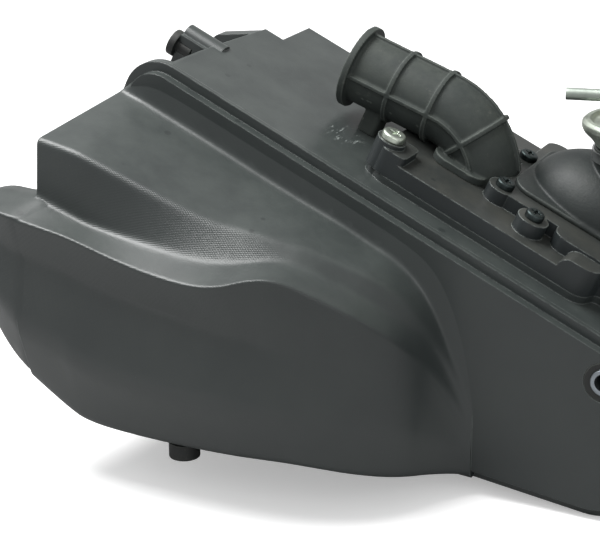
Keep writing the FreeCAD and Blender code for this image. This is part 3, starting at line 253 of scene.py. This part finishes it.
def plastic(
    name,
    dark,
    light,
    rough,
    dust,
    hatch=False,
    edge_wear_and_highlight=0.25,
    shine=0.5,
    scuff=None,
    film_tone=(100, 106, 102),
):
    """Moulded plastic: rounded corners, fine grain, soft mottling, dust and dried drops on top faces.

    dark and light are the ends of the mottling, rough the mean roughness, dust how much
    of film_tone lies on top faces, edge_wear_and_highlight how pale the corners are painted,
    convex and hollow alike, partly as worn plastic and partly as a painted highlight along
    the edges, and shine the strength of reflections. hatch adds the fine diamond texture
    of the case's styled side, and scuff is the place of a patch of pale scratches.
    """
    look = Look(name)
    look.round(MOULDED_ROUND)
    mottle = look.noise(18, 5, 0.6)
    fine = look.noise(1100, 3, 0.6)
    base = look.ramp(mottle, [(0.3, linear(dark)), (0.75, linear(light))])
    upward = look.mask(look.up(), 0.25, 0.95)
    film = look.math("MULTIPLY", upward, look.mask(look.noise(45, 6, 0.7), 0.05, 1.0))
    base = look.mix(look.math("MULTIPLY", film, dust), base, linear(film_tone))
    drops = look.math("MULTIPLY", upward, look.spots(95, 0.12, 0.05))
    base = look.mix(look.math("MULTIPLY", drops, 0.6), base, linear(DRIED_DROP))
    specks = look.spots(420, 0.06, 0.02)
    base = look.mix(look.math("MULTIPLY", specks, dust * 0.5), base, linear(PALE_SPECK))
    # Corners, convex and hollow alike, are painted paler: partly worn plastic, partly a painted highlight
    # along the edges.
    worn_and_highlit_edges = look.math("MULTIPLY", look.corner, look.mask(look.noise(240, 4, 0.6), 0.3, 0.6))
    base = look.mix(look.math("MULTIPLY", worn_and_highlit_edges, edge_wear_and_highlight), base, linear(PALE_EDGE_WEAR_AND_HIGHLIGHT))
    if scuff:
        streaks = look.mask(look.noise(620, 3, 0.6, (1, 0.3, 1)), 0.56, 0.66)
        patch = look.math("MULTIPLY", look.near(scuff, SCUFF_REACH), streaks)
        base = look.mix(look.math("MULTIPLY", patch, 0.6), base, linear(SCRATCH))
    look.colour(base)
    look.shader.inputs["Specular IOR Level"].default_value = shine
    look.roughness(look.math("ADD", look.math("MULTIPLY", mottle, 0.14), rough - 0.07))
    look.bump(fine, GRAIN_DEPTH)
    if hatch:
        look.bump(look.math("MULTIPLY", look.diamonds(HATCH_PITCH), styled_side(look)), HATCH_DEPTH)
    return look.material


def styled_side(look):
    """1 on the steep faces of the styled side above its belly, 0 elsewhere."""
    steep = look.mask(look.up(), 0.93, 0.7)
    proud = look.mask(look.axis("Y"), -0.128, -0.138)
    above = look.mask(look.axis("Z"), -0.155, -0.135)
    return look.math("MULTIPLY", look.math("MULTIPLY", steep, proud), above)


def rubber(name, dark, light, rough=0.6, grain=700, fleck=0.15, dust=0.3, shine=0.4):
    """Rubber: matt with a fine grain, paler bloom in patches and dust where it faces up."""
    look = Look(name)
    cloud = look.noise(55, 5, 0.62)
    fine = look.noise(grain, 3, 0.55)
    base = look.ramp(cloud, [(0.28, linear(dark)), (0.72, linear(light))])
    patches = look.mask(look.noise(80, 6, 0.7), 0.3, 0.7)
    film = look.math("MULTIPLY", look.mask(look.up(), -0.1, 0.9), patches)
    base = look.mix(look.math("MULTIPLY", film, dust), base, linear(RUBBER_FILM))
    bloom = look.math("MULTIPLY", look.mask(look.noise(190, 6, 0.72), 0.58, 0.8), fleck)
    base = look.mix(bloom, base, linear(RUBBER_BLOOM))
    # Sharp outer edges, found by pointiness, are painted paler.
    base = look.mix(look.math("MULTIPLY", look.edge(), 0.3), base, linear(PALE_EDGE_RUBBER))
    look.colour(base)
    look.roughness(look.math("ADD", look.math("MULTIPLY", cloud, 0.2), rough - 0.1))
    look.bump(fine, RUBBER_GRAIN_DEPTH)
    look.shader.inputs["Specular IOR Level"].default_value = shine
    return look.material


def metal(name, dark, light, rough, grain=420, relief=0.00003):
    """Metal: tone and roughness vary over it, with a fine grain of this relief in metres."""
    look = Look(name)
    look.round(TURNED_ROUND)
    cloud = look.noise(90, 4, 0.6)
    fine = look.noise(grain, 3, 0.6)
    base = look.ramp(cloud, [(0.25, linear(dark)), (0.75, linear(light))])
    look.colour(look.mix(look.math("MULTIPLY", look.mask(fine, 0.55, 0.8), 0.3), base, linear(dark)))
    look.shader.inputs["Metallic"].default_value = 1.0
    look.roughness(look.math("ADD", look.math("MULTIPLY", cloud, 0.22), rough - 0.1))
    look.bump(fine, relief)
    return look.material


def paper(name):
    """Filter paper with long fibres."""
    look = Look(name)
    fibre = look.noise(1300, 4, 0.7, (1, 0.2, 1))
    look.colour(look.ramp(fibre, [(0.3, linear((160, 132, 72))), (0.7, linear((205, 182, 122)))]))
    look.roughness(0.9)
    look.bump(fibre, 0.0001)
    return look.material


# Where the top face is scratched, beside the elbow's mouth.
SCUFF = (-0.1395, -0.041, -0.071)

LOOKS = {
    "case_plastic": plastic(
        "case_plastic_look",
        (38, 43, 43),
        (46, 51, 50),
        0.38,
        0.3,
        hatch=True,
        shine=0.55,
        scuff=SCUFF,
    ),
    "cover_plastic": plastic(
        "cover_plastic_look",
        (32, 36, 37),
        (40, 45, 46),
        0.4,
        0.34,
        edge_wear_and_highlight=0.5,
        shine=0.4,
        film_tone=(100, 98, 88),
    ),
    "seal_rubber": rubber("seal_rubber_look", (26, 27, 27), (36, 38, 37)),
    "elbow_rubber": rubber("elbow_rubber_look", (44, 49, 48), (55, 60, 57), 0.66, 600, 0.22, 0.16, 0.25),
    "boot_rubber": rubber("boot_rubber_look", (28, 32, 32), (36, 41, 41), 0.5, 900, 0.05, 0.08, 0.3),
    "filter_frame_plastic": plastic("filter_frame_look", (72, 72, 68), (88, 88, 82), 0.5, 0.1),
    "filter_paper": paper("filter_paper_look"),
    "casting": metal("casting_look", (158, 166, 156), (198, 204, 193), 0.5, 700, 0.00013),
    "turned_steel": metal("turned_steel_look", (150, 150, 148), (186, 186, 182), 0.3),
    "plate_brass": metal("plate_brass_look", (178, 150, 92), (208, 182, 120), 0.34),
    "pulley_plating": metal("pulley_plating_look", (178, 168, 118), (205, 198, 150), 0.36),
    "spring_steel": metal("spring_steel_look", (92, 92, 94), (126, 126, 128), 0.38),
    "plated_screw": metal("plated_screw_look", (188, 196, 184), (214, 222, 210), 0.34),
    "black_screw": metal("black_screw_look", (48, 54, 54), (70, 78, 78), 0.42),
    "sensor_plastic": plastic("sensor_plastic_look", (30, 31, 33), (42, 43, 45), 0.4, 0.1),
    "band_steel": metal("band_steel_look", (176, 178, 178), (204, 206, 206), 0.28),
    "pipe_metal": metal("pipe_metal_look", (138, 146, 138), (170, 178, 170), 0.5),
    "collar_steel": metal("collar_steel_look", (120, 126, 132), (150, 156, 162), 0.4),
}

for part in frame["record"]["subparts"]:
    node = NODES[part["node"]]
    node.data.materials.clear()
    node.data.materials.append(LOOKS[part["material_slot"]])

# ---------------------------------------------------------------- mesh finish


def refine(obj, voxel, rounds):
    """Even out a mesh and round its edges: voxel size in millimetres, then smoothing rounds."""
    remesh = obj.modifiers.new("even", "REMESH")
    remesh.mode = "VOXEL"
    remesh.voxel_size = voxel / 1000
    remesh.use_smooth_shade = True
    soften = obj.modifiers.new("round", "SMOOTH")
    soften.iterations = rounds


def waver(obj, size, depth):
    """Give a moulding the slight unevenness of rubber: wave size and depth in millimetres."""
    texture = bpy.data.textures.new(obj.name + "_waver", "CLOUDS")
    texture.noise_scale = size / 1000
    swell = obj.modifiers.new("waver", "DISPLACE")
    swell.texture = texture
    swell.texture_coords = "LOCAL"
    swell.strength = depth / 1000


def soft_piece(name, node, voxel, rounds):
    """A rubber piece of its own in the space of the CAD solid, with rounded edges."""
    source = NODES[node]
    piece = bpy.data.objects.new(name, source.data.copy())
    bpy.context.scene.collection.objects.link(piece)
    refine(piece, voxel, rounds)
    waver(piece, 14, 0.2)
    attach(piece, source["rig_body"])
    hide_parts(node)


# Voxel size in millimetres and smoothing rounds of the small metal pieces.
REFINED = {
    "throttle_body": (0.5, 3),
    "corner_screw": (0.25, 2),
    "cover_screws": (0.25, 2),
    "vacuum_pipe": (0.3, 2),
    "side_collar": (0.35, 2),
    "throttle_pulley": (0.4, 2),
    "throttle_sensor": (0.4, 2),
}
for name, (voxel, rounds) in REFINED.items():
    refine(NODES[name], voxel, rounds)

# The big mouldings shade smooth across any edge flatter than this.
MOULDED_CREASE = math.radians(28)
for name in ("outer_case", "inner_case", "filter_cover"):
    NODES[name].data.set_sharp_from_angle(angle=MOULDED_CREASE)

# The same for the rubber pieces, which get a piece of their own.
SOFT = {
    "intake_elbow": (0.5, 3),
    "outlet_boot": (0.6, 8),
    "drain_plug": (0.3, 4),
    "side_grommet": (0.4, 4),
    "mount_buffer": (0.35, 5),
    "case_seal": (0.4, 2),
    "cover_seal": (0.4, 2),
    "filter_seal": (0.4, 2),
}
for node, (voxel, rounds) in SOFT.items():
    soft_piece("rubber_" + node, node, voxel, rounds)

# ---------------------------------------------------------------- stage


FLOOR_HALF = 4.0
FLOOR_GAP = 0.0005
# The floor bounces this grey onto the part, and glows this much for the camera alone.
FLOOR_BOUNCE = (0.45, 0.45, 0.45, 1)
FLOOR_GLOW = 0.35
KEY_AT = (-0.55, -0.22, 0.95)
KEY_WATTS = 23
FILL_AT = (0.9, -0.9, 0.6)
FILL_WATTS = 3
LAMP_SIZE = 0.8
STUDIO_STRENGTH = 0.62
CAMERA_AT = (0.24805, -0.87262, 0.19078)
CAMERA_AZIMUTH = math.radians(26.4)
CAMERA_ELEVATION = math.radians(20)


def add_floor(height):
    """A pale plain floor that the camera sees as white paper."""
    mesh = bpy.data.meshes.new("floor")
    corners = ((-1, -1), (1, -1), (1, 1), (-1, 1))
    mesh.from_pydata(
        [(x * FLOOR_HALF, y * FLOOR_HALF, height) for x, y in corners],
        [],
        [(0, 1, 2, 3)],
    )
    floor = bpy.data.objects.new("floor", mesh)
    bpy.context.scene.collection.objects.link(floor)
    look = Look("floor_look")
    seen = look.tree.nodes.new("ShaderNodeLightPath").outputs["Is Camera Ray"]
    pale = look.ramp(look.noise(3, 2, 0.5), [(0.3, (0.9, 0.9, 0.9, 1)), (0.7, (0.94, 0.94, 0.94, 1))])
    look.colour(look.mix(seen, FLOOR_BOUNCE, pale))
    look.roughness(0.9)
    look.shader.inputs["Emission Color"].default_value = (1, 1, 1, 1)
    look.links.new(look.math("MULTIPLY", seen, FLOOR_GLOW), look.shader.inputs["Emission Strength"])
    floor.data.materials.append(look.material)


def add_light(name, at, target, watts):
    """A soft round lamp at a place, facing a target."""
    lamp = bpy.data.lights.new(name, "AREA")
    lamp.shape = "DISK"
    lamp.size = LAMP_SIZE
    lamp.energy = watts
    holder = bpy.data.objects.new(name, lamp)
    holder.location = at
    holder.rotation_euler = (Vector(target) - Vector(at)).to_track_quat("-Z", "Y").to_euler()
    bpy.context.scene.collection.objects.link(holder)


def add_camera():
    """The photograph's viewpoint: round to the right of the front, and above."""
    level = math.cos(CAMERA_ELEVATION)
    back = Vector(
        (
            math.sin(CAMERA_AZIMUTH) * level,
            -math.cos(CAMERA_AZIMUTH) * level,
            math.sin(CAMERA_ELEVATION),
        )
    )
    lens = bpy.data.cameras.new("camera")
    lens.sensor_width = 36
    lens.lens = 114
    camera = bpy.data.objects.new("camera", lens)
    camera.location = CAMERA_AT
    camera.rotation_euler = (-back).to_track_quat("-Z", "Y").to_euler()
    bpy.context.scene.collection.objects.link(camera)
    bpy.context.scene.camera = camera


def add_world():
    """Even white light from all round."""
    world = bpy.data.worlds.new("studio")
    world.use_nodes = True
    background = world.node_tree.nodes["Background"]
    background.inputs["Color"].default_value = (1, 1, 1, 1)
    background.inputs["Strength"].default_value = STUDIO_STRENGTH
    bpy.context.scene.world = world


lowest, highest = CAD_BOX
middle = (lowest + highest) / 2
add_floor(lowest.z - FLOOR_GAP)
add_light("key", KEY_AT, middle, KEY_WATTS)
add_light("fill", FILL_AT, middle, FILL_WATTS)
add_world()
add_camera()
bpy.context.scene.view_settings.view_transform = "Standard"
